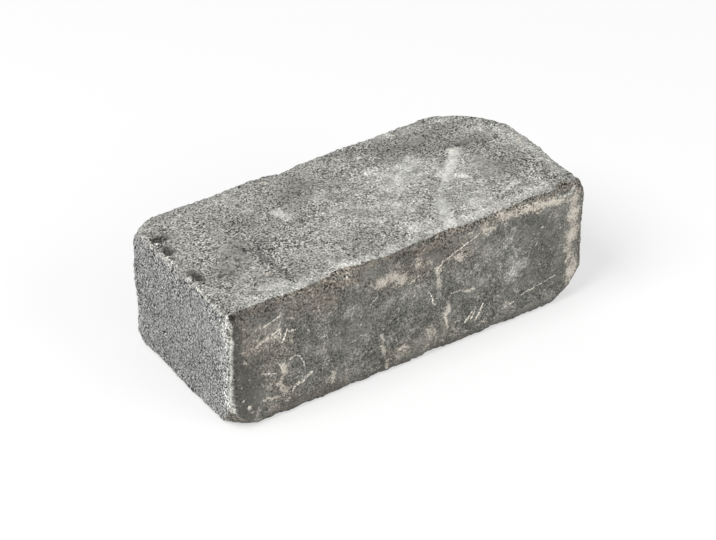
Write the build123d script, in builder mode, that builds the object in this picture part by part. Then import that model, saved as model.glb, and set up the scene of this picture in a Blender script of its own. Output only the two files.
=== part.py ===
"""Tumbled garden wall block: one piece of cast concrete with its arrises worn in the drum.

Millimetres, +Z up. The origin is the middle of the lower bed face. X runs along the
block, and the show face looks towards -Y.
"""

import os
from collections import namedtuple
from math import pi, radians, sin, sqrt

from build123d import *

# The block as it left the mould
length = 300.0
width = 135.0
height = 100.0

# Waves along every worn arris, as shares of its own wear
long_wave = 78.0
long_wave_share = 0.30
short_wave = 36.0
short_wave_share = 0.17
second_face_lag = 50.0

# How a worn arris is cut
arris_roundness = 0.18
station_pitch = 12.0
cutter_margin = 5.0
cutter_overrun = 0.6

# A corner is knocked off to a ball this many times as large as the depth lost
corner_ball_ratio = 6.0

# Wear of the twelve arrises: how far each is worn back on its two faces, and the
# angle in degrees at which its waves start
Arris = namedtuple("Arris", "first_face second_face worn_on_first worn_on_second phase")
arrises = [
    Arris("top", "front", 4.2, 11.0, 200),
    Arris("top", "back", 1.7, 4.5, 140),
    Arris("top", "left", 3.2, 4.5, 12),
    Arris("top", "right", 3.4, 6.5, 250),
    Arris("bottom", "front", 1.3, 3.2, 265),
    Arris("bottom", "back", 5.0, 5.5, 35),
    Arris("bottom", "left", 4.2, 4.2, 200),
    Arris("bottom", "right", 6.0, 6.5, 110),
    Arris("front", "left", 5.0, 2.5, 160),
    Arris("front", "right", 8.5, 2.8, 60),
    Arris("back", "left", 6.5, 5.2, 290),
    Arris("back", "right", 15.0, 14.0, 330),
]

# Depth lost at the eight corners, measured along the corner's diagonal
Corner = namedtuple("Corner", "bed_face long_face end_face depth")
corners = [
    Corner("top", "front", "left", 4.5),
    Corner("top", "front", "right", 6.5),
    Corner("top", "back", "left", 9.0),
    Corner("top", "back", "right", 22.0),
    Corner("bottom", "front", "left", 11.0),
    Corner("bottom", "front", "right", 14.0),
    Corner("bottom", "back", "left", 8.0),
    Corner("bottom", "back", "right", 9.0),
]

# Scooped chips: place along the arris from its middle, towards +X, +Y or +Z,
# and depth below the line of the arris before it wore
Chip = namedtuple("Chip", "first_face second_face place length depth")
chips = [
    Chip("top", "back", -24.0, 30.0, 4.0),
    Chip("top", "left", 34.0, 20.0, 4.5),
    Chip("top", "left", -14.0, 17.0, 4.5),
    Chip("top", "front", 132.0, 20.0, 7.5),
    Chip("top", "front", -56.0, 36.0, 6.0),
    Chip("bottom", "front", -112.0, 22.0, 2.6),
    Chip("bottom", "front", 18.0, 26.0, 2.8),
    Chip("bottom", "front", 74.0, 24.0, 2.8),
    Chip("bottom", "right", 20.0, 30.0, 7.5),
    Chip("bottom", "back", 60.0, 34.0, 7.0),
]

outward = {
    "front": Vector(0, -1, 0),
    "back": Vector(0, 1, 0),
    "left": Vector(-1, 0, 0),
    "right": Vector(1, 0, 0),
    "bottom": Vector(0, 0, -1),
    "top": Vector(0, 0, 1),
}
half_size = Vector(length / 2, width / 2, height / 2)
centre = Vector(0, 0, height / 2)


def meeting_point(*faces):
    """The corner, or the middle of the arris, where the unworn faces meet."""
    side = sum((outward[face] for face in faces), Vector())
    return centre + Vector(side.X * half_size.X, side.Y * half_size.Y, side.Z * half_size.Z)


def wave(distance, phase):
    """Share of the mean wear that is lost at a distance along an arris."""
    slow = long_wave_share * sin(2 * pi * distance / long_wave + radians(phase))
    quick = short_wave_share * sin(2 * pi * distance / short_wave + radians(2 * phase))
    return 1 + slow + quick


def worn_strip(arris):
    """The wavy strip of concrete that one arris has lost."""
    into_first = -outward[arris.second_face]
    into_second = -outward[arris.first_face]
    along = into_first.cross(into_second)
    middle = meeting_point(arris.first_face, arris.second_face)
    half_run = abs(along.X * half_size.X) + abs(along.Y * half_size.Y) + abs(along.Z * half_size.Z)
    half_run += cutter_margin
    spans = round(2 * half_run / station_pitch)
    with BuildPart() as strip:
        for station in range(spans + 1):
            distance = half_run * (2 * station / spans - 1)
            first = arris.worn_on_first * wave(distance, arris.phase)
            second = arris.worn_on_second * wave(distance, arris.phase + second_face_lag)
            first_rim = Vector(first, 0)
            second_rim = Vector(0, second)
            crown = (first_rim + second_rim) * (1 - arris_roundness) / 2
            with BuildSketch(Plane(middle + along * distance, x_dir=into_first, z_dir=along)):
                with BuildLine():
                    Polyline(
                        first_rim + (first_rim - crown) * cutter_overrun,
                        crown,
                        second_rim + (second_rim - crown) * cutter_overrun,
                        (-cutter_margin, -cutter_margin),
                        close=True,
                    )
                make_face()
        loft(ruled=True)
    return strip.part


def knocked_corner(corner):
    """The cap that one corner has lost, outside a ball that the corner is rounded to."""
    faces = corner[:3]
    tip = meeting_point(*faces)
    diagonal = sum((outward[face] for face in faces), Vector()).normalized()
    ball = corner_ball_ratio * corner.depth
    tip_to_ball_centre = corner.depth + ball
    side = 2 * tip_to_ball_centre / sqrt(3)
    with BuildPart() as cap:
        with Locations(tip):
            Box(side, side, side)
        with Locations(tip - diagonal * tip_to_ball_centre):
            Sphere(ball, mode=Mode.SUBTRACT)
    return cap.part


def scoop(chip):
    """The ball that scoops one chip out of an arris."""
    first, second = outward[chip.first_face], outward[chip.second_face]
    across = first.cross(second)
    along = Vector(abs(across.X), abs(across.Y), abs(across.Z))
    ball = (chip.length**2 / 4 + chip.depth**2) / (2 * chip.depth)
    on_arris = meeting_point(chip.first_face, chip.second_face) + along * chip.place
    with BuildPart() as bite:
        with Locations(on_arris + (first + second).normalized() * (ball - chip.depth)):
            Sphere(ball)
    return bite.part


losses = [worn_strip(arris) for arris in arrises]
losses += [knocked_corner(corner) for corner in corners]
losses += [scoop(chip) for chip in chips]

with BuildPart() as wall_block:
    Box(length, width, height, align=(Align.CENTER, Align.CENTER, Align.MIN))
    for loss in losses:
        add(loss, mode=Mode.SUBTRACT)
wall_block.part.label = "wall_block"

os.makedirs("parts", exist_ok=True)
export_step(wall_block.part, "parts/wall_block.step")
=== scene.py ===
"""A tumbled concrete garden wall block on a white studio floor.

The block was cast, then rolled in a drum with others, so its arrises are broken back and
its faces carry grit, scuffs and efflorescence. Sizes are millimetres until a mesh is made.
"""

import logging
from dataclasses import dataclass
from enum import Enum
from typing import Any

import bmesh
import bpy
import numpy as np
from mathutils import Euler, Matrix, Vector, noise
from mathutils.bvhtree import BVHTree


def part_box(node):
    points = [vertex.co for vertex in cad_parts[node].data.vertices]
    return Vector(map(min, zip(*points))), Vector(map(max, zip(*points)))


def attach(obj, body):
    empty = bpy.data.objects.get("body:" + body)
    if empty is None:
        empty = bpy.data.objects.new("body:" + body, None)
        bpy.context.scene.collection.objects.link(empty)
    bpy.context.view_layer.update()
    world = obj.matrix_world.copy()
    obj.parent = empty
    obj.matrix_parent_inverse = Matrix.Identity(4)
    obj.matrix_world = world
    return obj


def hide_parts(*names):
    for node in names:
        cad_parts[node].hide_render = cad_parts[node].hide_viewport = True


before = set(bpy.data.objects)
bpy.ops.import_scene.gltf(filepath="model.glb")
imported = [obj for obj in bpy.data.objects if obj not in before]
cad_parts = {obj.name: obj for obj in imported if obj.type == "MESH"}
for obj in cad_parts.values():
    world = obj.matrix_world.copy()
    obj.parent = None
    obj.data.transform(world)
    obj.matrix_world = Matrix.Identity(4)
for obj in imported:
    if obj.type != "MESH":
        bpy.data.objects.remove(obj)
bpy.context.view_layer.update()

log = logging.getLogger("wall_block")

MM = 0.001
PHOTO_WIDTH = 716

Point2 = tuple[float, float]
Point3 = tuple[float, float, float]
Weights = np.ndarray
Tree = bpy.types.NodeTree
Node = bpy.types.Node
Socket = bpy.types.NodeSocket
Sockets = dict[str, Socket]

# Nearly all values of Blender's noise lie between these two.
NOISE_LOW, NOISE_HIGH = 0.3, 0.7

# A mark is full up to the first of these many widths from its line, and gone at the second.
MARK_FULL, MARK_GONE = 0.2, 1.2

TINY = 1e-6


class Face(Enum):
    """Which face a mark lies on; a pair of opposite faces is read as one, turned over."""

    BED = "bed"
    MOULD = "mould"
    END = "end"


class Trace(Enum):
    """What a mark is; all but a scratch can be painted, on an attribute of that name."""

    SCUFF = "scuff"
    SCRATCH = "scratch"
    BLOOM = "bloom_and_highlight"
    STAIN = "stain_and_shade"
    EARTH = "earth"


PAINTED = (Trace.SCUFF, Trace.BLOOM, Trace.STAIN, Trace.EARTH)
ATTRIBUTES = ("bed", "end", "mould", "bare", "relief", *(trace.value for trace in PAINTED))

# For each face: the axis of its normal, the axes of its plane, and which way the seen one faces.
PLANES = {
    Face.BED: (2, 0, 1, 1),
    Face.MOULD: (1, 0, 2, -1),
    Face.END: (0, 1, 2, -1),
}


@dataclass(frozen=True)
class Mark:
    """One mark that follows a line across a face, in millimetres.

    The line is in the face's own plane: x and y on a bed, x and z on a mould face,
    y and z on an end. The opposite face carries the same mark, turned round.
    Scratches, and scuffs on the mould faces, are drawn by the finish; the rest is painted.
    """

    face: Face
    trace: Trace
    width: float
    strength: float
    line: tuple[Point2, ...]


@dataclass(frozen=True)
class Relief:
    """One layer of roughness that is worked into the skin, inwards only.

    Attributes:
        group: vertex group that carries it.
        size: width of one lump, in millimetres.
        depth: deepest hollow, in millimetres.
        octaves: finer copies of the pattern that ride on it.
        level: 1 leaves lumps and hollows alike, and more keeps more of the face flat.
        contrast: how steep the hollows' walls are.
    """

    group: str
    size: float
    depth: float
    octaves: int = 1
    level: float = 1.0
    contrast: float = 1.0


@dataclass(frozen=True)
class Pit:
    """One hollow that the photograph shows, with its middle, radius and depth in millimetres."""

    middle: Point3
    radius: float
    depth: float


def linear(code: str) -> tuple[float, float, float, float]:
    """Turn a colour as it is seen into the one that light works with.

    Args:
        code: sRGB colour such as "#A0A09B".

    Returns:
        Linear red, green, blue and a full alpha.
    """
    seen = [int(code[i : i + 2], 16) / 255 for i in (1, 3, 5)]
    light = [c / 12.92 if c <= 0.04045 else ((c + 0.055) / 1.055) ** 2.4 for c in seen]
    return (light[0], light[1], light[2], 1.0)


def add_node(tree: Tree, kind: str, links: dict[Any, Any], **settings: Any) -> Node:
    """Add a node with its settings and links.

    Args:
        tree: node tree that gets the node.
        kind: Blender's name for the node.
        links: for each input, by name or number, a value, a socket, or a node whose
            first live output is taken.
        settings: properties to set on the node.

    Returns:
        The new node.
    """
    node = tree.nodes.new(kind)
    for name, value in settings.items():
        setattr(node, name, value)
    for name, value in links.items():
        socket = node.inputs[name]
        if isinstance(value, Node):
            value = next(output for output in value.outputs if output.enabled)
        if isinstance(value, Socket):
            tree.links.new(value, socket)
        else:
            socket.default_value = value
    return node


def ease(value: np.ndarray, low: float, high: float) -> np.ndarray:
    """Rise smoothly from 0 at low to 1 at high, or fall where low is the larger.

    Args:
        value: numbers to map.
        low: where the result is 0.
        high: where the result is 1.

    Returns:
        Numbers from 0 to 1.
    """
    share = np.clip((value - low) / (high - low), 0.0, 1.0)
    return share * share * (3.0 - 2.0 * share)


@dataclass(frozen=True)
class Cover:
    """How a soft mask breaks into specks, as dust and efflorescence catch on the grit; painted shade and
    painted highlights break up the same way.

    Attributes:
        ragged: how far the specks stray over the mask's border.
        opacity: how much a full cover hides.
        start: sum of mask and pattern where the cover starts.
        full: sum where it is full; a wide step gives a veil, and a narrow one flakes.
    """

    ragged: float
    opacity: float
    start: float
    full: float


@dataclass(frozen=True)
class TumbledConcrete:
    """Grey cast concrete, open and gritty on its beds and ends, closer where the mould held it.

    Dry and dull to the eye, with no shine. The beds are the lightest, with pores darkened as
    painted shade and with efflorescence; the ends are cooler and flecked, and drawn darker than
    the beds as painted shade; the mould faces are dark, partly by their closer skin and partly
    as painted shade, with haze, scuffs and scratches; worn rims carry a painted highlight;
    hollows and the floors of pits are darkened as painted shade; the arrises that have broken
    back show brown mortar.
    """

    # Colours of the faces, of the worn rims, and of what shows or lies on them. The end is the
    # bed's concrete drawn darker as painted shade; the mould faces are darker partly by their
    # closer skin and partly as painted shade.
    bed: str = "#9B9A95"
    end: str = "#8C8C8B"
    mould: str = "#62625C"
    # Worn concrete lightened as a painted highlight on the rims.
    worn_rim_highlight: str = "#A8A7A2"
    arris: str = "#736F66"
    earth: str = "#7F766C"
    haze: str = "#93918A"
    dust: str = "#C3BBAF"
    # White of the efflorescence, also painted as a highlight on the top's back and right rims.
    lime_and_highlight: str = "#D8D8D1"
    scratch: str = "#D0CABF"
    # Dark of real stains, also painted as shade on the floors of pits and notches.
    stain_and_shade: str = "#454440"
    roughness: float = 0.93
    ior: float = 1.5

    # Sizes of the patterns. Grit and grain are drawn coarser than most of the real sand,
    # so that they still show at the photograph's 1.4 pixels to a millimetre.
    cloud_mm: float = 34.0
    drift_mm: float = 18.0
    patch_mm: float = 8.0
    lump_mm: float = 3.2
    grit_mm: float = 1.3
    grain_mm: float = 1.9
    pore_mm: float = 1.9
    hair_mm: float = 13.0
    noise_roughness: float = 0.6

    # How far each pattern lightens and darkens the concrete.
    grit_reach: float = 1.12
    grain_reach: float = 0.2
    lump_reach: float = 0.14
    cloud_tone: Point2 = (0.82, 1.18)
    patch_tone: Point2 = (0.82, 1.18)
    # Hollows darken with their depth below the solid, as painted shade.
    hollow_shade_relief: Point2 = (0.45, 0.85)
    hollow_shade: float = 0.55

    # The speckle's strength on worn places, what zones and marks add to it, the least that
    # is left, and how much of it stays where the drift pattern is low and high.
    speckle_worn: float = 1.1
    speckle_more: tuple[tuple[str, float], ...] = (
        ("bed", -0.05),
        ("end", 0.6),
        ("mould", -0.45),
        ("stain_and_shade", -0.2),
        ("bloom_and_highlight", -1.2),
        ("scuff", -0.7),
    )
    speckle_least: float = 0.2
    speckle_drift: Point2 = (0.35, 0.65)
    speckle_kept: Point2 = (1.3, 0.6)

    # Pores: how far they cluster, where their pattern turns to pore, how dark their painted shade
    # is, and how far the mould faces, the efflorescence and the painted highlights close them.
    pore_cluster: float = 0.3
    pore_edge: Point2 = (0.47, 0.56)
    pore_shade: float = 0.3
    pore_closed: float = 0.8

    # Which part of its pattern shows as haze, pale mortar and hairlines, and how strongly.
    haze_drift: Point2 = (0.38, 0.66)
    haze_most: float = 0.7
    mortar_patch: Point2 = (0.48, 0.62)
    mortar_most: float = 0.85
    hair_level: float = 0.5
    hair_line: Point2 = (0.016, 0.003)
    hair_most: float = 0.55

    # How drawn scuffs and scratches wander, and how far from the block's middle plane the
    # mould faces that carry them lie at least.
    wander_mm: float = 5.0
    wander_detail: float = 1.5
    scuff_stray_mm: float = 4.5
    scratch_stray_mm: float = 2.0
    mould_out_mm: float = 55.0

    # How each layer breaks up, and the share of mask below which it fades away.
    bare_cover: Cover = Cover(0.3, 0.95, 0.3, 0.7)
    earth_cover: Cover = Cover(0.6, 0.65, -0.2, 1.0)
    haze_cover: Cover = Cover(0.45, 0.62, 0.0, 1.0)
    stain_and_shade_cover: Cover = Cover(0.6, 0.78, -0.1, 1.1)
    bloom_and_highlight_cover: Cover = Cover(0.3, 0.9, 0.0, 0.95)
    scuff_cover: Cover = Cover(0.75, 0.8, 0.25, 1.05)
    hair_cover: Cover = Cover(0.8, 0.35, 0.3, 0.8)
    scratch_cover: Cover = Cover(0.42, 0.85, 0.25, 0.85)
    cover_gate: float = 0.15

    # Relief below the size that the mesh carries.
    bump_mm: float = 1.3
    bump_strength: float = 0.9
    bump_on_mould: float = 0.3

    def material(self, marks: tuple[Mark, ...]) -> bpy.types.Material:
        """Build the material.

        Args:
            marks: the marks on the faces, of which it draws the scuffs and scratches on the
                mould faces itself.

        Returns:
            A material that reads Object coordinates and the block's own attributes.
        """
        material = bpy.data.materials.new("tumbled_concrete")
        material.use_nodes = True
        tree = material.node_tree
        tree.nodes.clear()

        metres = add_node(tree, "ShaderNodeTexCoord", {}).outputs["Object"]
        place = add_node(tree, "ShaderNodeVectorMath", {0: metres, "Scale": 1 / MM}, operation="SCALE")
        zone = {
            name: add_node(tree, "ShaderNodeAttribute", {}, attribute_name=name).outputs["Fac"]
            for name in ATTRIBUTES
        }
        field = self._fields(tree, place)
        scuffs = self._drawn(tree, place, marks, Trace.SCUFF, self.scuff_stray_mm)
        scuffs = add_node(tree, "ShaderNodeMath", {0: scuffs, 1: zone["scuff"]}, operation="MAXIMUM")
        zone["scuff"] = scuffs.outputs[0]
        scratches = self._drawn(tree, place, marks, Trace.SCRATCH, self.scratch_stray_mm)
        colour = self._weathered(tree, zone, field, scratches)
        light = self._tone(tree, zone, field)
        colour = add_node(
            tree, "ShaderNodeMix", {0: 1.0, 6: colour, 7: light}, data_type="RGBA", blend_type="MULTIPLY"
        )
        shader = add_node(
            tree,
            "ShaderNodeBsdfPrincipled",
            {
                "Base Color": colour,
                "Roughness": self.roughness,
                "IOR": self.ior,
                "Normal": self._bump(tree, zone, field),
            },
        )
        add_node(tree, "ShaderNodeOutputMaterial", {"Surface": shader})
        return material

    def _fields(self, tree: Tree, place: Node) -> Sockets:
        """Lay the patterns that colour and relief share.

        Args:
            tree: node tree to add to.
            place: position in millimetres.

        Returns:
            Sockets with numbers from 0 to 1, by name.
        """
        field = {}
        for name, size, detail in (
            ("cloud", self.cloud_mm, 3.0),
            ("drift", self.drift_mm, 3.0),
            ("patch", self.patch_mm, 3.0),
            ("lump", self.lump_mm, 2.0),
            ("grit", self.grit_mm, 2.0),
            ("pore", self.pore_mm, 1.0),
            ("hair", self.hair_mm, 2.0),
        ):
            pattern = {
                "Vector": place,
                "Scale": 1 / size,
                "Detail": detail,
                "Roughness": self.noise_roughness,
            }
            field[name] = add_node(tree, "ShaderNodeTexNoise", pattern).outputs["Fac"]
        grains = add_node(tree, "ShaderNodeTexVoronoi", {"Vector": place, "Scale": 1 / self.grain_mm})
        field["grain"] = add_node(tree, "ShaderNodeSeparateColor", {0: grains.outputs["Color"]}).outputs[0]
        return field

    def _ground(self, tree: Tree, zone: Sockets, field: Sockets) -> Node:
        """Lay the plain colour of each zone, with bare mortar on the arrises that broke back.

        Args:
            tree: node tree to add to.
            zone: the block's own weights for its zones.
            field: the shared patterns.

        Returns:
            Node with the colour.
        """
        # The worn rims start from a lighter colour: worn concrete with a painted highlight.
        colour: Node | tuple[float, ...] = linear(self.worn_rim_highlight)
        # The end colour is the bed's concrete drawn darker as painted shade, and the mould colour partly so.
        for name, tint in (("bed", self.bed), ("mould", self.mould), ("end", self.end)):
            layers = {0: zone[name], 6: colour, 7: linear(tint)}
            colour = add_node(tree, "ShaderNodeMix", layers, data_type="RGBA")
        low, high = self.mortar_patch
        patches = add_node(
            tree,
            "ShaderNodeMapRange",
            {"Value": field["patch"], "From Min": low, "From Max": high, "To Max": self.mortar_most},
        )
        layers = {0: patches, 6: linear(self.arris), 7: linear(self.earth)}
        mortar = add_node(tree, "ShaderNodeMix", layers, data_type="RGBA")
        bare = self._covered(tree, zone["bare"], field, self.bare_cover)
        return add_node(tree, "ShaderNodeMix", {0: bare, 6: colour, 7: mortar}, data_type="RGBA")

    def _weathered(self, tree: Tree, zone: Sockets, field: Sockets, scratches: Node) -> Node:
        """Lay what use has left over the plain colour, in the order that it came, with painted shade in pits
        and painted highlights on rims riding on the layers of real stains and efflorescence.

        Args:
            tree: node tree to add to.
            zone: the block's own weights for its zones and marks.
            field: the shared patterns.
            scratches: how strongly scratches cover each place.

        Returns:
            Node with the colour.
        """
        colour = self._ground(tree, zone, field)
        low, high = self.haze_drift
        drift = add_node(
            tree,
            "ShaderNodeMapRange",
            {"Value": field["drift"], "From Min": low, "From Max": high, "To Max": self.haze_most},
        )
        hazed = add_node(tree, "ShaderNodeMath", {0: drift, 1: zone["mould"]}, operation="MULTIPLY")
        for mask, tint, cover in (
            (zone["earth"], self.earth, self.earth_cover),
            (hazed, self.haze, self.haze_cover),
            (zone["stain_and_shade"], self.stain_and_shade, self.stain_and_shade_cover),
            (zone["bloom_and_highlight"], self.lime_and_highlight, self.bloom_and_highlight_cover),
            (zone["scuff"], self.dust, self.scuff_cover),
            (self._hairs(tree, zone, field), self.dust, self.hair_cover),
            (scratches, self.scratch, self.scratch_cover),
        ):
            layers = {0: self._covered(tree, mask, field, cover), 6: colour, 7: linear(tint)}
            colour = add_node(tree, "ShaderNodeMix", layers, data_type="RGBA")
        return colour

    def _tone(self, tree: Tree, zone: Sockets, field: Sockets) -> Node:
        """Work out how light or dark each place is.

        Args:
            tree: node tree to add to.
            zone: the block's own weights for its zones and marks.
            field: the shared patterns.

        Returns:
            Node with a factor round 1.
        """
        tone: Node | float = 0.0
        for name, low, high, reach in (
            ("grit", NOISE_LOW, NOISE_HIGH, self.grit_reach),
            ("grain", 0.0, 1.0, self.grain_reach),
            ("lump", NOISE_LOW, NOISE_HIGH, self.lump_reach),
        ):
            share = add_node(
                tree,
                "ShaderNodeMapRange",
                {"Value": field[name], "From Min": low, "From Max": high, "To Min": -reach, "To Max": reach},
            )
            tone = add_node(tree, "ShaderNodeMath", {0: tone, 1: share}, operation="ADD")
        speckle = self._speckle(tree, zone, field)
        tone = add_node(tree, "ShaderNodeMath", {0: tone, 1: speckle, 2: 1.0}, operation="MULTIPLY_ADD")
        # Pores are darkened as painted shade.
        factors = [self._pores(tree, zone, field)]
        # Hollows are darkened by their depth as painted shade; cloud and patch vary the tone at random.
        for value, (low, high), (dark, light) in (
            (zone["relief"], self.hollow_shade_relief, (1.0, self.hollow_shade)),
            (field["cloud"], (NOISE_LOW, NOISE_HIGH), self.cloud_tone),
            (field["patch"], (NOISE_LOW, NOISE_HIGH), self.patch_tone),
        ):
            steps = {"Value": value, "From Min": low, "From Max": high, "To Min": dark, "To Max": light}
            factors.append(add_node(tree, "ShaderNodeMapRange", steps))
        for factor in factors:
            tone = add_node(tree, "ShaderNodeMath", {0: tone, 1: factor}, operation="MULTIPLY")
        return tone

    def _speckle(self, tree: Tree, zone: Sockets, field: Sockets) -> Node:
        """Work out how strongly each place is speckled.

        Args:
            tree: node tree to add to.
            zone: the block's own weights for its zones and marks.
            field: the shared patterns.

        Returns:
            Node with the strength.
        """
        strength: Node | float = self.speckle_worn
        for name, more in self.speckle_more:
            terms = {0: zone[name], 1: more, 2: strength}
            strength = add_node(tree, "ShaderNodeMath", terms, operation="MULTIPLY_ADD")
        strength = add_node(tree, "ShaderNodeMath", {0: strength, 1: self.speckle_least}, operation="MAXIMUM")
        low, high = self.speckle_drift
        most, least = self.speckle_kept
        kept = add_node(
            tree,
            "ShaderNodeMapRange",
            {"Value": field["drift"], "From Min": low, "From Max": high, "To Min": most, "To Max": least},
        )
        return add_node(tree, "ShaderNodeMath", {0: strength, 1: kept}, operation="MULTIPLY")

    def _pores(self, tree: Tree, zone: Sockets, field: Sockets) -> Node:
        """Open pores in clusters, darkened as painted shade, fewer where the mould faces, the efflorescence
        and the painted highlights have closed them.

        Args:
            tree: node tree to add to.
            zone: the block's own weights for its zones and marks.
            field: the shared patterns.

        Returns:
            Node with 1 between the pores and less in them.
        """
        terms = {0: field["drift"], 1: self.pore_cluster, 2: field["pore"]}
        depth = add_node(tree, "ShaderNodeMath", terms, operation="MULTIPLY_ADD")
        low, high = self.pore_edge
        pore = add_node(
            tree,
            "ShaderNodeMapRange",
            {"Value": depth, "From Min": low, "From Max": high, "To Min": self.pore_shade, "To Max": 1.0},
            interpolation_type="SMOOTHSTEP",
        )
        closed = add_node(tree, "ShaderNodeMath", {0: zone["mould"], 1: zone["bloom_and_highlight"]}, operation="MAXIMUM")
        closed = add_node(tree, "ShaderNodeMath", {0: closed, 1: self.pore_closed}, operation="MULTIPLY")
        return add_node(tree, "ShaderNodeMix", {0: closed, 2: pore, 3: 1.0})

    def _covered(self, tree: Tree, mask: Socket | Node, field: Sockets, cover: Cover) -> Node:
        """Break a soft mask into specks.

        Args:
            tree: node tree to add to.
            mask: share of each place that is covered.
            field: the shared patterns.
            cover: how it breaks up.

        Returns:
            Node with a number from 0 to 1.
        """
        strayed: Node | Socket = mask
        reach = cover.ragged / 2
        for name in ("patch", "grit"):
            stray = add_node(
                tree,
                "ShaderNodeMapRange",
                {
                    "Value": field[name],
                    "From Min": NOISE_LOW,
                    "From Max": NOISE_HIGH,
                    "To Min": -reach,
                    "To Max": reach,
                },
            )
            strayed = add_node(tree, "ShaderNodeMath", {0: strayed, 1: stray}, operation="ADD")
        covered = add_node(
            tree,
            "ShaderNodeMapRange",
            {"Value": strayed, "From Min": cover.start, "From Max": cover.full, "To Max": cover.opacity},
            interpolation_type="SMOOTHSTEP",
        )
        gate = add_node(tree, "ShaderNodeMapRange", {"Value": mask, "From Max": self.cover_gate})
        return add_node(tree, "ShaderNodeMath", {0: covered, 1: gate}, operation="MULTIPLY")

    def _hairs(self, tree: Tree, zone: Sockets, field: Sockets) -> Node:
        """Draw faint curling hairlines all over the mould faces.

        Args:
            tree: node tree to add to.
            zone: the block's own weights for its zones.
            field: the shared patterns.

        Returns:
            Node with how strongly the lines cover each place.
        """
        away = add_node(tree, "ShaderNodeMath", {0: field["hair"], 1: self.hair_level}, operation="SUBTRACT")
        away = add_node(tree, "ShaderNodeMath", {0: away}, operation="ABSOLUTE")
        outer, inner = self.hair_line
        line = add_node(
            tree,
            "ShaderNodeMapRange",
            {"Value": away, "From Min": outer, "From Max": inner, "To Max": self.hair_most},
        )
        return add_node(tree, "ShaderNodeMath", {0: line, 1: zone["mould"]}, operation="MULTIPLY")

    def _drawn(
        self, tree: Tree, place: Node, marks: tuple[Mark, ...], trace: Trace, stray_mm: float
    ) -> Node:
        """Draw all marks of one kind on the two mould faces.

        Args:
            tree: node tree to add to.
            place: position in millimetres.
            marks: all marks on the faces.
            trace: kind of mark to draw.
            stray_mm: how far the lines wander.

        Returns:
            Node with how strongly the marks cover each place.
        """
        flat, gate = self._mould_plane(tree, place, stray_mm)
        drawn: Node | float = 0.0
        for mark in marks:
            if mark.trace is not trace or mark.face is not Face.MOULD:
                continue
            points = [Vector((-across, 0.0, up)) for across, up in mark.line]
            for start, end in zip(points, points[1:] or points):
                away = self._distance(tree, flat, start, end)
                near = add_node(
                    tree,
                    "ShaderNodeMapRange",
                    {
                        "Value": away,
                        "From Min": MARK_GONE * mark.width,
                        "From Max": MARK_FULL * mark.width,
                        "To Max": mark.strength,
                    },
                )
                drawn = add_node(tree, "ShaderNodeMath", {0: drawn, 1: near}, operation="MAXIMUM")
        return add_node(tree, "ShaderNodeMath", {0: drawn, 1: gate}, operation="MULTIPLY")

    def _mould_plane(self, tree: Tree, place: Node, stray_mm: float) -> tuple[Node, Node]:
        """Read positions in the plane of the mould faces, with the back one turned round.

        Args:
            tree: node tree to add to.
            place: position in millimetres.
            stray_mm: how far the positions wander.

        Returns:
            Node with the position in the plane, and one with 1 where a mould face lies.
        """
        pattern = {"Vector": place, "Scale": 1 / self.wander_mm, "Detail": self.wander_detail}
        wander = add_node(tree, "ShaderNodeTexNoise", pattern).outputs["Color"]
        offset = add_node(tree, "ShaderNodeVectorMath", {0: wander, 1: (0.5,) * 3}, operation="SUBTRACT")
        terms = {0: offset, 1: (stray_mm,) * 3, 2: place}
        strayed = add_node(tree, "ShaderNodeVectorMath", terms, operation="MULTIPLY_ADD")
        parts = add_node(tree, "ShaderNodeSeparateXYZ", {0: strayed})
        side = add_node(tree, "ShaderNodeMath", {0: parts.outputs["Y"]}, operation="SIGN")
        turned = add_node(tree, "ShaderNodeMath", {0: side, 1: parts.outputs["X"]}, operation="MULTIPLY")
        flat = add_node(tree, "ShaderNodeCombineXYZ", {"X": turned, "Z": parts.outputs["Z"]})
        out = add_node(tree, "ShaderNodeMath", {0: parts.outputs["Y"]}, operation="ABSOLUTE")
        gate = add_node(tree, "ShaderNodeMath", {0: out, 1: self.mould_out_mm}, operation="GREATER_THAN")
        return flat, gate

    @staticmethod
    def _distance(tree: Tree, flat: Node, start: Vector, end: Vector) -> Socket:
        """Measure how far each place is from a straight line.

        Args:
            tree: node tree to add to.
            flat: position in the plane of the line.
            start: where the line starts.
            end: where it ends.

        Returns:
            Socket with the distance.
        """
        run = end - start
        per_run = run / max(run.length_squared, TINY)
        back = add_node(tree, "ShaderNodeVectorMath", {0: flat, 1: tuple(start)}, operation="SUBTRACT")
        share = add_node(tree, "ShaderNodeVectorMath", {0: back, 1: tuple(per_run)}, operation="DOT_PRODUCT")
        held = add_node(tree, "ShaderNodeClamp", {"Value": share.outputs["Value"]})
        along = add_node(tree, "ShaderNodeVectorMath", {0: tuple(run), "Scale": held}, operation="SCALE")
        away = add_node(tree, "ShaderNodeVectorMath", {0: back, 1: along}, operation="SUBTRACT")
        return add_node(tree, "ShaderNodeVectorMath", {0: away}, operation="LENGTH").outputs["Value"]

    def _bump(self, tree: Tree, zone: Sockets, field: Sockets) -> Node:
        """Roughen the surface below the size that the mesh carries.

        Args:
            tree: node tree to add to.
            zone: the block's own weights for its zones and marks.
            field: the shared patterns.

        Returns:
            Node with the normal.
        """
        depths = {"Value": zone["mould"], "To Min": 1.0, "To Max": self.bump_on_mould}
        deep = add_node(tree, "ShaderNodeMapRange", depths)
        pore = self._pores(tree, zone, field)
        height = add_node(tree, "ShaderNodeMath", {0: pore, 1: field["grit"]}, operation="ADD")
        height = add_node(tree, "ShaderNodeMath", {0: height, 1: deep}, operation="MULTIPLY")
        relief = {"Height": height, "Distance": self.bump_mm * MM, "Strength": self.bump_strength}
        return add_node(tree, "ShaderNodeBump", relief)


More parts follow.
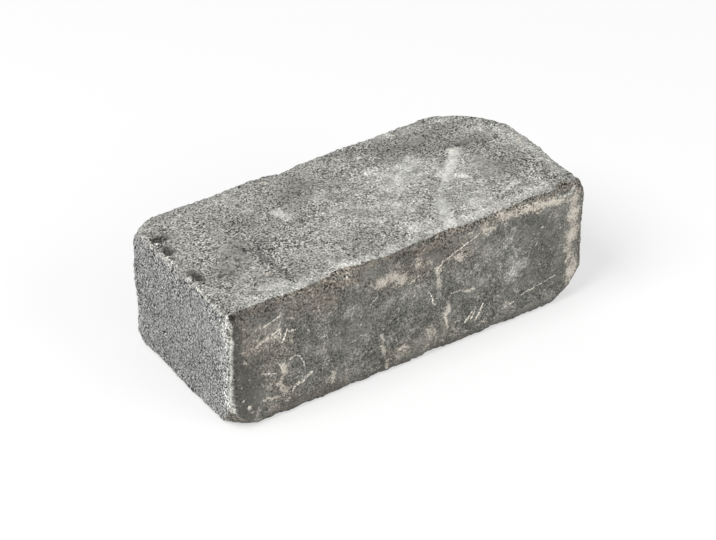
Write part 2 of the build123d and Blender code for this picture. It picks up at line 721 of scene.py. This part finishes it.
@dataclass
class WallBlock:
    """The block's skin: a fine box drawn onto the worn solid and roughened."""

    node: str = "wall_block"
    slot: str = "concrete"
    cuts: tuple[int, int, int] = (99, 44, 32)
    voxel_mm: float = 0.95
    kept: float = 0.45
    soften: float = 0.5
    flat_cosine: float = 0.99
    worn_cosine: float = 0.95
    arris_near_mm: float = 4.0
    arris_far_mm: float = 16.0
    bare_cosines: Point2 = (0.4, 0.6)
    back_cleaner: float = 0.2
    facing_cosines: Point2 = (0.6, 0.85)
    relief_range_mm: float = 3.0
    pit_lobe_mm: float = 2.5
    pit_ragged: float = 0.5
    pit_floor: float = 0.45
    pit_search: float = 2.0
    stray_mm: tuple[Point2, ...] = ((9.0, 2.0), (3.5, 0.9))
    stray_seed: int = 1
    weight_steps: int = 64

    def __post_init__(self) -> None:
        """Take the block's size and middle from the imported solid."""
        low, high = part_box(self.node)
        self.size = Vector(high) - Vector(low)
        self.middle = (Vector(high) + Vector(low)) / 2

    def model(
        self, reliefs: tuple[Relief, ...], pits: tuple[Pit, ...], marks: tuple[Mark, ...]
    ) -> bpy.types.Object:
        """Model the skin.

        Args:
            reliefs: layers of roughness, in the order that they are worked in.
            pits: single hollows.
            marks: the marks on the faces, which the skin carries as attributes.

        Returns:
            The finished object.
        """
        bpy.ops.object.select_all(action="DESELECT")
        bpy.ops.mesh.primitive_cube_add(size=1.0, location=self.middle, scale=self.size)
        skin = bpy.context.object
        skin.name = "worn_block"
        skin.data.name = "worn_block"
        bpy.ops.object.transform_apply(location=True, rotation=True, scale=True)
        for axis, cuts in enumerate(self.cuts):
            self._divide(skin, axis, cuts)
        self._settle(skin)
        before = self._places(skin)
        zones = self._zones(before, self._normals(skin))
        for name in ("bed", "end", "mould", "arris"):
            self._weigh(skin, name, zones[name])
        deepest = max(pit.depth for pit in pits)
        self._weigh(skin, "pits", self._pit_depths(before, pits) / deepest)
        for number, relief in enumerate(reliefs):
            self._roughen(skin, relief, f"relief_{number}")
        self._apply(skin, "DISPLACE", vertex_group="pits", mid_level=0.0, strength=-deepest * MM)
        skin.vertex_groups.clear()
        self._remesh(skin)
        self._apply(skin, "DECIMATE", ratio=self.kept)
        self._paint(skin, marks)
        bpy.ops.object.shade_smooth()
        return skin

    def _paint(self, skin: bpy.types.Object, marks: tuple[Mark, ...]) -> None:
        """Give each vertex its zones, its depth and its marks for the finish to read.

        Args:
            skin: the roughened block.
            marks: the marks on the faces.
        """
        solid = BVHTree.FromObject(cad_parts[self.node], bpy.context.evaluated_depsgraph_get())
        places = self._places(skin)
        nearest = [solid.find_nearest(place * MM) for place in places]
        sunk = np.array([hit[3] for hit in nearest]) / MM
        on_solid = np.array([hit[0] for hit in nearest]) / MM
        normals = np.array([hit[1] for hit in nearest])
        log.info("relief to %.2f mm, mean %.2f", sunk.max(), sunk.mean())
        weights = self._zones(on_solid, normals)
        weights["relief"] = np.clip(sunk / self.relief_range_mm, 0.0, 1.0)
        # Unseeded, noise_vector starts from the clock and the marks differ with each run
        noise.seed_set(self.stray_seed)
        strayed = on_solid.copy()
        for size, reach in self.stray_mm:
            strayed += reach * np.array([noise.noise_vector(place / size) for place in on_solid])
        for trace in PAINTED:
            weights[trace.value] = self._mark_weights(strayed, normals, trace, marks)
        for name in ATTRIBUTES:
            attribute = skin.data.attributes.new(name, "FLOAT", "POINT")
            attribute.data.foreach_set("value", weights[name].astype(np.float32))

    def _mark_weights(
        self, places: np.ndarray, normals: np.ndarray, trace: Trace, marks: tuple[Mark, ...]
    ) -> Weights:
        """Weigh each vertex for all painted marks of one kind.

        Args:
            places: positions in millimetres.
            normals: normals of the solid there.
            trace: kind of mark.
            marks: all marks.

        Returns:
            Weights from 0 to the strength of the strongest mark.
        """
        weights = np.zeros(len(places))
        for mark in marks:
            if mark.trace is not trace or (mark.face, trace) == (Face.MOULD, Trace.SCUFF):
                continue
            axis, across, up, front = PLANES[mark.face]
            facing = ease(np.abs(normals[:, axis]), *self.facing_cosines)
            turned = np.where(normals[:, axis] * front > 0, 1.0, -1.0)
            flat = np.stack((places[:, across] * turned, places[:, up]), axis=1)
            points = [np.array(point) for point in mark.line]
            for start, end in zip(points, points[1:] or points):
                run = end - start
                share = np.clip((flat - start) @ run / max(run @ run, TINY), 0.0, 1.0)
                away = np.linalg.norm(flat - start - share[:, None] * run, axis=1)
                near = np.clip(MARK_GONE - away / mark.width, 0.0, 1.0) * mark.strength * facing
                weights = np.maximum(weights, near)
        return weights

    def _divide(self, skin: bpy.types.Object, axis: int, cuts: int) -> None:
        """Cut all edges that run along one axis.

        Args:
            skin: object to cut, which is the active one.
            axis: 0, 1 or 2 for x, y or z.
            cuts: cuts in each edge.
        """
        bpy.ops.object.mode_set(mode="EDIT")
        bpy.ops.mesh.select_mode(type="EDGE")
        bpy.ops.mesh.select_all(action="DESELECT")
        mesh = bmesh.from_edit_mesh(skin.data)
        for edge in mesh.edges:
            run = edge.verts[1].co - edge.verts[0].co
            edge.select_set(abs(run[axis]) > run.length / 2)
        bmesh.update_edit_mesh(skin.data)
        bpy.ops.mesh.subdivide(number_cuts=cuts)
        bpy.ops.object.mode_set(mode="OBJECT")

    def _settle(self, skin: bpy.types.Object) -> None:
        """Draw the fine box onto the worn solid and take the crease off its arrises."""
        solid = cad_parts[self.node]
        self._apply(skin, "SHRINKWRAP", target=solid, wrap_method="NEAREST_SURFACEPOINT")
        self._remesh(skin)
        self._apply(skin, "SMOOTH", factor=self.soften, iterations=1)

    def _remesh(self, skin: bpy.types.Object) -> None:
        """Even out the skin's mesh, with no folds."""
        self._apply(skin, "REMESH", mode="VOXEL", voxel_size=self.voxel_mm * MM)

    @staticmethod
    def _apply(skin: bpy.types.Object, kind: str, **settings: Any) -> None:
        """Add a modifier and apply it.

        Args:
            skin: object to work on, which is the active one.
            kind: Blender's name for the modifier.
            settings: properties to set on it.
        """
        modifier = skin.modifiers.new(kind.lower(), kind)
        for name, value in settings.items():
            setattr(modifier, name, value)
        bpy.ops.object.modifier_apply(modifier=modifier.name)

    @staticmethod
    def _places(skin: bpy.types.Object) -> np.ndarray:
        """Positions of the vertices in millimetres, one row each."""
        flat = np.empty(3 * len(skin.data.vertices), np.float32)
        skin.data.vertices.foreach_get("co", flat)
        return flat.reshape(-1, 3).astype(float) / MM

    @staticmethod
    def _normals(skin: bpy.types.Object) -> np.ndarray:
        """Normals of the vertices, one row each."""
        flat = np.empty(3 * len(skin.data.vertices), np.float32)
        skin.data.vertex_normals.foreach_get("vector", flat)
        return flat.reshape(-1, 3).astype(float)

    def _zones(self, places: np.ndarray, normals: np.ndarray) -> dict[str, Weights]:
        """Weigh each vertex for the zones of the block.

        Args:
            places: positions in millimetres.
            normals: normals there.

        Returns:
            Weights from 0 to 1 for bed, end and mould faces, for the worn arrises that
            turn far enough towards a mould face to show bare mortar, on the back later
            than on the front, and for everything near an arris.
        """
        half = np.array(self.size) / 2 / MM
        inside = half - np.abs(places - np.array(self.middle) / MM)
        end, mould, bed = ease(np.abs(normals), self.worn_cosine, self.flat_cosine).T
        worn = 1.0 - np.maximum(np.maximum(end, mould), bed)
        second = np.sort(inside, axis=1)[:, 1]
        toward = np.maximum(-normals[:, 1], normals[:, 1] - self.back_cleaner)
        return {
            "bed": bed,
            "end": end,
            "mould": mould,
            "bare": worn * ease(toward, *self.bare_cosines),
            "arris": ease(second, self.arris_far_mm, self.arris_near_mm),
        }

    def _pit_depths(self, places: np.ndarray, pits: tuple[Pit, ...]) -> np.ndarray:
        """Work out how far each vertex is pressed in for the single hollows.

        Args:
            places: positions in millimetres.
            pits: the hollows.

        Returns:
            Depths in millimetres.
        """
        depths = np.zeros(len(places))
        for pit in pits:
            away = np.linalg.norm(places - np.array(pit.middle), axis=1)
            near = np.nonzero(away < self.pit_search * pit.radius)[0]
            ragged = np.array([noise.noise(place / self.pit_lobe_mm) for place in places[near]])
            lobed = away[near] * (1.0 + self.pit_ragged * ragged)
            pressed = ease(lobed, pit.radius, self.pit_floor * pit.radius)
            depths[near] = np.maximum(depths[near], pressed * pit.depth)
        return depths

    def _weigh(self, skin: bpy.types.Object, name: str, weights: Weights) -> None:
        """Keep weights as a vertex group.

        Args:
            skin: object that gets the group.
            name: name of the group.
            weights: one number from 0 to 1 for each vertex.
        """
        group = skin.vertex_groups.new(name=name)
        steps = np.rint(weights * self.weight_steps).astype(int)
        for step in range(1, self.weight_steps + 1):
            chosen = np.nonzero(steps == step)[0]
            if len(chosen):
                group.add(chosen.tolist(), step / self.weight_steps, "REPLACE")

    def _roughen(self, skin: bpy.types.Object, relief: Relief, name: str) -> None:
        """Work one layer of roughness into the skin.

        Args:
            skin: object to work on, which is the active one.
            relief: the layer.
            name: name of its texture.
        """
        texture = bpy.data.textures.new(name, "CLOUDS")
        texture.noise_scale = relief.size * MM
        texture.noise_depth = relief.octaves
        texture.noise_basis = "IMPROVED_PERLIN"
        texture.intensity = relief.level
        texture.contrast = relief.contrast
        self._apply(
            skin,
            "DISPLACE",
            texture=texture,
            texture_coords="LOCAL",
            vertex_group=relief.group,
            mid_level=1.0,
            strength=relief.depth * MM,
        )

    def dress(self, skin: bpy.types.Object, material: bpy.types.Material) -> None:
        """Give the skin its finish and its place in the frame.

        Args:
            skin: the modelled block.
            material: its finish.
        """
        skin.data.materials.clear()
        skin.data.materials.append(material)
        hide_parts(self.node)
        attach(skin, "root")


@dataclass(frozen=True)
class Lamp:
    """A square soft lamp that faces the block, in metres and watts."""

    name: str
    place: Point3
    side: float
    watts: float


@dataclass
class Studio:
    """White floor, soft lamps and the camera that took the photograph, in metres."""

    lamps: tuple[Lamp, ...] = (
        Lamp("key", (-1.8, -0.2, 2.4), 1.6, 62.0),
        Lamp("fill", (1.2, -2.4, 1.5), 2.0, 34.0),
    )
    floor_size: float = 8.0
    floor_white: str = "#F4F4F4"
    floor_glow: float = 0.5
    camera_place: Point3 = (-0.88989, -1.33477, 1.18804)
    camera_aim: Point3 = (-0.003956, -0.002917, 0.043543)
    focal_pixels: float = 2755.6
    sensor_mm: float = 36.0
    sky: float = 0.5

    def build(self) -> None:
        """Set up the floor, the lamps, the sky and the camera."""
        self._floor()
        for lamp in self.lamps:
            self._hang(lamp)
        self._sky()
        self._camera()
        bpy.context.scene.view_settings.view_transform = "Standard"

    def _floor(self) -> None:
        """Lay the floor, whiter to the camera than to the block."""
        bpy.ops.object.select_all(action="DESELECT")
        bpy.ops.mesh.primitive_plane_add(size=self.floor_size)
        floor = bpy.context.object
        floor.name = "floor"
        material = bpy.data.materials.new("studio_paper")
        material.use_nodes = True
        tree = material.node_tree
        tree.nodes.clear()
        rays = add_node(tree, "ShaderNodeLightPath", {})
        seen_directly = rays.outputs["Is Camera Ray"]
        share = add_node(tree, "ShaderNodeMath", {0: seen_directly, 1: self.floor_glow}, operation="MULTIPLY")
        paper = add_node(tree, "ShaderNodeBsdfDiffuse", {"Color": linear(self.floor_white)})
        glow = add_node(tree, "ShaderNodeEmission", {"Strength": 1.0})
        seen = add_node(tree, "ShaderNodeMixShader", {0: share, 1: paper, 2: glow})
        add_node(tree, "ShaderNodeOutputMaterial", {"Surface": seen})
        floor.data.materials.append(material)

    def _turn(self, place: Point3) -> Euler:
        """Turn that points something at a place towards the block."""
        return (Vector(self.camera_aim) - Vector(place)).to_track_quat("-Z", "Y").to_euler()

    def _hang(self, lamp: Lamp) -> None:
        """Hang one lamp."""
        bpy.ops.object.light_add(type="AREA", location=lamp.place, rotation=self._turn(lamp.place))
        light = bpy.context.object
        light.name = lamp.name
        light.data.size = lamp.side
        light.data.energy = lamp.watts

    def _sky(self) -> None:
        """Light the scene evenly all round, and show white behind it."""
        world = bpy.data.worlds.new("studio")
        world.use_nodes = True
        tree = world.node_tree
        tree.nodes.clear()
        rays = add_node(tree, "ShaderNodeLightPath", {})
        level = add_node(
            tree,
            "ShaderNodeMapRange",
            {"Value": rays.outputs["Is Camera Ray"], "To Min": self.sky, "To Max": 1.0},
        )
        sky = add_node(tree, "ShaderNodeBackground", {"Color": (1.0, 1.0, 1.0, 1.0), "Strength": level})
        add_node(tree, "ShaderNodeOutputWorld", {"Surface": sky})
        bpy.context.scene.world = world

    def _camera(self) -> None:
        """Place the camera."""
        bpy.ops.object.camera_add(location=self.camera_place, rotation=self._turn(self.camera_place))
        camera = bpy.context.object
        camera.data.sensor_fit = "HORIZONTAL"
        camera.data.sensor_width = self.sensor_mm
        camera.data.lens = self.focal_pixels * self.sensor_mm / PHOTO_WIDTH
        bpy.context.scene.camera = camera


# The roughness of the skin, from the slow swell of the whole block to the grit of its faces.
RELIEFS = (
    Relief("", 45.0, 0.4, octaves=1, level=1.1),
    Relief("arris", 10.0, 0.8, octaves=2, level=1.15),
    Relief("arris", 3.4, 1.5, octaves=1, level=1.25, contrast=2.0),
    Relief("bed", 6.5, 0.7, octaves=2, level=1.15),
    Relief("bed", 2.2, 1.5, octaves=1, level=1.2, contrast=1.8),
    Relief("end", 2.0, 1.2, octaves=1, level=1.25, contrast=1.8),
    Relief("mould", 9.0, 0.4, octaves=2, level=1.1),
)

# Single hollows: along the top left arris, on the top, at its near corner and on the left end.
PITS = (
    Pit((-142.0, 40.0, 99.0), 4.5, 3.4),
    Pit((-144.5, 31.0, 98.5), 4.0, 3.0),
    Pit((-143.0, 23.5, 98.5), 5.0, 3.4),
    Pit((-144.0, 15.0, 98.5), 3.0, 2.2),
    Pit((-142.5, -12.6, 98.5), 5.0, 3.6),
    Pit((-139.5, -18.0, 98.5), 3.4, 2.4),
    Pit((-98.7, -4.1, 99.5), 3.0, 2.2),
    Pit((-89.9, -8.5, 99.5), 2.6, 1.8),
    Pit((-94.0, -5.6, 99.5), 2.2, 1.6),
    Pit((-108.4, -11.2, 99.5), 2.4, 2.4),
    Pit((-112.0, -18.0, 99.5), 2.0, 2.2),
    Pit((-131.5, 48.0, 99.5), 2.6, 2.0),
    Pit((100.5, 23.8, 99.5), 3.6, 2.2),
    Pit((54.3, 11.1, 99.5), 2.6, 2.0),
    Pit((-145.5, -65.5, 95.5), 4.5, 2.6),
    Pit((-150.0, 40.0, 37.0), 2.6, 1.8),
    Pit((-150.0, 22.6, 32.0), 2.6, 1.8),
    Pit((-150.0, -17.0, 79.0), 2.6, 1.8),
    Pit((-150.0, -25.0, 69.0), 2.6, 1.8),
)

# Notches across the top left arris, by their place along it.
NOTCHES = (-37.0, -41.0, -49.0, -53.0, -57.0)
FURROWS = tuple(Pit((-148.0, y, 98.3), radius=3.0, depth=3.3) for y in NOTCHES)

# Small pits on the top whose floors get painted shade.
PIT_SHADE_SPOTS = (
    (-145.5, -8.4),
    (-108.6, -11.1),
    (-112.6, -19.2),
    (-118.3, -21.3),
    (-120.9, -24.0),
    (-126.1, -23.0),
    (-129.7, -23.5),
    (-98.5, -4.1),
    (-114.7, 14.9),
    (-119.4, 8.6),
    (-115.1, 8.7),
    (-131.9, 47.5),
)

# Marks that can be told apart in the photograph, by face and kind: width, strength and line.
LINES: dict[tuple[Face, Trace], tuple[tuple[float, float, tuple[Point2, ...]], ...]] = {
    (Face.MOULD, Trace.SCRATCH): (
        (1.0, 0.9, ((-122.0, 82.0), (-110.0, 85.5))),
        (1.3, 1.0, ((-108.0, 63.5), (-104.2, 72.6))),
        (1.0, 0.9, ((-116.5, 72.0), (-108.5, 74.5))),
        (1.0, 0.9, ((-103.0, 70.5), (-97.7, 69.2))),
        (1.7, 1.0, ((-100.0, 18.3), (-98.5, 22.3), (-93.3, 22.5), (-85.2, 27.6))),
        (0.9, 0.9, ((-125.0, 43.1), (-113.5, 38.5))),
        (0.8, 0.8, ((-113.3, 50.4), (-109.1, 40.9))),
        (0.8, 0.8, ((-37.0, 64.8), (-30.9, 70.0))),
        (1.5, 1.2, ((-139.8, 25.6),)),
        (2.0, 1.2, ((-135.4, 18.1),)),
        (0.8, 0.8, ((-102.6, 45.7), (-98.0, 47.5), (-94.5, 45.7), (-90.5, 36.3))),
        (1.2, 0.9, ((19.0, 72.0), (24.7, 77.8), (34.3, 81.2))),
        (0.9, 0.75, ((34.3, 81.2), (55.2, 89.3), (58.4, 91.8))),
        (1.3, 1.2, ((110.8, 74.0),)),
        (0.9, 0.72, ((94.3, 21.0), (111.2, 24.3), (124.7, 26.6))),
        (0.8, 0.65, ((74.3, 14.9), (87.7, 17.8))),
        (1.1, 0.85, ((45.0, 16.7), (53.8, 26.5))),
        (1.0, 0.75, ((49.5, 18.0), (53.0, 23.0))),
        (1.1, 0.85, ((54.2, 15.4), (62.0, 29.9))),
        (1.3, 0.6, ((12.1, 58.3), (18.1, 42.7))),
    ),
    (Face.MOULD, Trace.SCUFF): (
        (2.6, 1.0, ((-126.0, 69.5), (-120.5, 70.5))),
        (2.0, 0.8, ((-104.0, 81.6), (-99.7, 79.8))),
        (10.0, 0.3, ((-124.0, 72.0), (-106.0, 78.0))),
        (3.2, 1.0, ((-107.6, 43.4), (-107.0, 35.4), (-110.8, 29.2), (-105.1, 18.9))),
        (5.5, 1.1, ((-107.0, 21.5),)),
        (2.4, 0.9, ((-122.0, 20.0), (-111.0, 17.6))),
        (3.6, 0.5, ((-109.0, 10.0), (-104.0, 9.6))),
        (3.0, 0.85, ((-68.9, 22.2), (-66.7, 16.5), (-68.0, 12.0))),
        (2.0, 0.9, ((-26.2, 34.0), (-25.3, 21.0), (-23.0, 13.7), (-21.4, 5.1))),
        (6.5, 0.9, ((-31.0, 79.2), (-20.5, 80.5), (-8.4, 76.0))),
        (3.8, 0.9, ((19.1, 74.0), (20.5, 66.0), (21.9, 58.0))),
        (4.4, 0.95, ((58.3, 92.2), (66.5, 91.0), (71.3, 94.5))),
        (4.4, 0.95, ((71.3, 94.5), (84.5, 94.5), (101.2, 92.5))),
        (4.4, 0.95, ((101.2, 92.5), (117.9, 91.0), (133.2, 88.5))),
        (2.0, 0.8, ((66.5, 90.7), (62.0, 86.0))),
        (7.5, 0.9, ((138.0, 88.0), (138.0, 64.5), (137.0, 54.0))),
        (7.5, 0.9, ((137.0, 54.0), (137.0, 44.8), (139.0, 32.4), (138.7, 22.0))),
        (5.0, 1.0, ((134.5, 47.0),)),
        (2.0, 0.9, ((30.3, 44.4), (31.9, 47.1), (45.0, 45.1), (50.0, 43.9))),
        (3.4, 0.8, ((29.9, 45.0), (31.0, 34.3))),
        (2.4, 1.0, ((27.3, 32.3), (29.3, 18.1))),
        (4.5, 0.7, ((30.9, 76.8), (41.2, 74.4))),
        (5.0, 0.65, ((3.7, 80.7), (13.0, 81.3))),
        (6.0, 0.5, ((-15.0, 73.0), (0.0, 76.0))),
        (2.0, 0.8, ((9.8, 23.8), (19.3, 20.2))),
        (2.0, 0.8, ((-11.5, 16.8), (-2.1, 14.6))),
        (3.4, 0.55, ((60.5, 10.7), (67.8, 4.2))),
    ),
    (Face.MOULD, Trace.BLOOM): (
        (9.0, 0.3, ((-53.2, 65.3),)),
        (16.0, 0.26, ((79.0, 76.0), (90.0, 46.0))),
        (3.2, 1.0, ((-148.7, 94.0), (-148.7, 62.0))),
        (2.8, 0.8, ((-149.3, 62.0), (-149.4, 16.0))),
    ),
    (Face.MOULD, Trace.EARTH): (
        (8.0, 0.7, ((-66.0, 94.0), (-56.0, 92.0))),
        (12.0, 0.6, ((-140.0, 90.0), (-137.0, 66.0))),
        (18.0, 0.5, ((-125.0, 75.0), (-116.0, 54.0))),
        (12.0, 0.5, ((-112.0, 34.0), (-106.0, 12.0))),
        (14.0, 0.7, ((-98.0, 90.0), (-74.0, 84.0))),
        (12.0, 0.6, ((-115.0, 6.0), (-62.0, 4.0))),
        (12.0, 0.6, ((-14.0, 12.0), (30.0, 17.0))),
        (14.0, 0.5, ((-30.0, 82.0), (44.0, 82.0))),
    ),
    (Face.MOULD, Trace.STAIN): (
        (22.0, 0.38, ((104.0, 78.0), (122.0, 60.0), (116.0, 40.0))),
        (13.0, 0.3, ((-47.2, 72.0), (-59.3, 42.1))),
        (13.0, 0.25, ((-62.0, 45.0), (-40.0, 48.0))),
        (3.6, 1.6, ((-142.9, 93.0), (-143.1, 52.0))),
        (13.0, 1.0, ((-141.0, 46.0), (-137.0, 16.0))),
        (12.0, 0.42, ((100.0, 36.0), (124.0, 34.0))),
        (4.0, 0.7, ((-122.0, 3.0), (132.0, 3.0))),
        (7.0, 0.5, ((-100.0, 6.0), (-56.0, 5.0))),
        (3.5, 1.0, ((-147.0, 97.0), (-134.0, 96.0))),
        (8.0, 0.5, ((-140.0, 92.0), (-116.0, 92.0))),
        (7.0, 0.5, ((-44.0, 92.0), (-28.0, 89.0))),
        (7.0, 0.4, ((-14.0, 96.0), (-2.0, 95.0))),
        (8.0, 0.5, ((14.0, 86.0), (36.0, 88.0))),
    ),
    (Face.BED, Trace.BLOOM): (
        (6.0, 0.9, ((93.2, 16.6), (78.9, 2.5), (66.6, -8.7))),
        (8.0, 0.45, ((66.6, -8.7), (49.1, -27.5))),
        (9.0, 0.8, ((47.0, -32.0), (43.0, -42.3), (37.0, -56.8))),
        (15.0, 0.6, ((58.3, 20.1), (45.0, 13.4), (28.6, 5.1))),
        (32.0, 0.3, ((24.0, 22.0), (72.0, -12.0))),
        (26.0, 0.26, ((-20.0, 0.0), (20.0, -25.0))),
        (18.0, 0.3, ((36.0, -46.0), (112.0, -44.0))),
        (3.4, 0.55, ((21.3, 29.2), (82.5, -17.0))),
        (7.0, 0.6, ((-22.0, 2.0), (-14.0, 2.0))),
        (8.0, 0.5, ((-3.3, -7.7),)),
        (8.0, 0.5, ((18.8, -18.7),)),
        (4.0, 0.45, ((-10.0, -22.0), (2.0, -29.0))),
        (2.4, 0.7, ((78.4, -47.0), (106.9, -40.9))),
        (5.0, 0.75, ((-56.7, 22.1), (-53.8, 11.8))),
        (4.0, 0.6, ((-46.3, 11.2),)),
        (10.0, 0.55, ((-110.0, -51.0), (-99.0, -57.0))),
        (8.0, 0.6, ((-58.0, -53.0), (-50.0, -58.0))),
        (10.0, 0.55, ((12.6, -46.0), (23.3, -50.0))),
        (9.0, 0.45, ((-124.0, -60.0), (-60.0, -61.0), (0.0, -60.0))),
        (9.0, 0.45, ((0.0, -60.0), (60.0, -58.0), (120.0, -56.0))),
        # The next two lighten the top's right and back rims as a painted highlight.
        (8.0, 0.4, ((128.0, 38.0), (138.0, 16.0), (142.0, -12.0), (143.0, -45.0))),
        (6.0, 0.35, ((60.0, 62.0), (112.0, 55.0))),
    ),
    (Face.BED, Trace.SCUFF): (
        (4.5, 0.8, ((-43.1, 58.9),)),
        (3.0, 0.8, ((-100.5, -37.7),)),
        (5.0, 0.65, ((13.3, -64.0), (24.7, -65.0))),
        (4.0, 0.6, ((13.0, 58.9),)),
        (4.0, 0.6, ((142.6, 4.6),)),
    ),
    (Face.BED, Trace.STAIN): (
        (2.3, 0.75, ((-93.0, -12.0), (-89.4, -49.0))),
        (9.0, 0.5, ((96.0, 24.0), (118.0, 20.0))),
        # The next three darken the pits on the top left arris as painted shade.
        (5.2, 0.85, ((-142.0, 40.5), (-137.5, 38.0))),
        (5.0, 0.85, ((-144.5, 30.0), (-142.0, 23.0))),
        (4.6, 0.9, ((-142.5, -7.5), (-140.0, -13.0))),
        (16.0, 0.4, ((-24.0, 42.0), (-40.0, 32.0))),
        (18.0, 0.35, ((56.0, 42.0), (84.0, 36.0))),
        (14.0, 0.35, ((-100.0, 0.0), (-120.0, -20.0))),
        (12.0, 0.3, ((100.0, -8.0), (118.0, -20.0))),
    ),
    (Face.END, Trace.BLOOM): (
        (9.0, 0.4, ((-62.5, 88.0), (-62.5, 18.0))),
        (2.4, 0.5, ((-18.0, 98.0), (-62.0, 98.0))),
    ),
}
MARKS = tuple(Mark(*kind, *line) for kind, lines in LINES.items() for line in lines)

# Painted shade on the floors of the small pits, and of the notches where they cross the end.
SHADES = tuple(Mark(Face.BED, Trace.STAIN, width=1.9, strength=1.3, line=(spot,)) for spot in PIT_SHADE_SPOTS)
SHADES += tuple(Mark(Face.END, Trace.STAIN, width=1.6, strength=1.3, line=((y, 97.5),)) for y in NOTCHES)


def main() -> None:
    """Build the block and its studio, and note how deep its relief goes and how many triangles it has."""
    logging.basicConfig(level=logging.INFO, format="%(name)s: %(message)s")
    Studio().build()
    block = WallBlock()
    marks = MARKS + SHADES
    skin = block.model(RELIEFS, PITS + FURROWS, marks)
    block.dress(skin, TumbledConcrete().material(marks))
    log.info("%s: %d triangles", skin.name, sum(len(face.vertices) - 2 for face in skin.data.polygons))


if __name__ == "__main__":
    main()
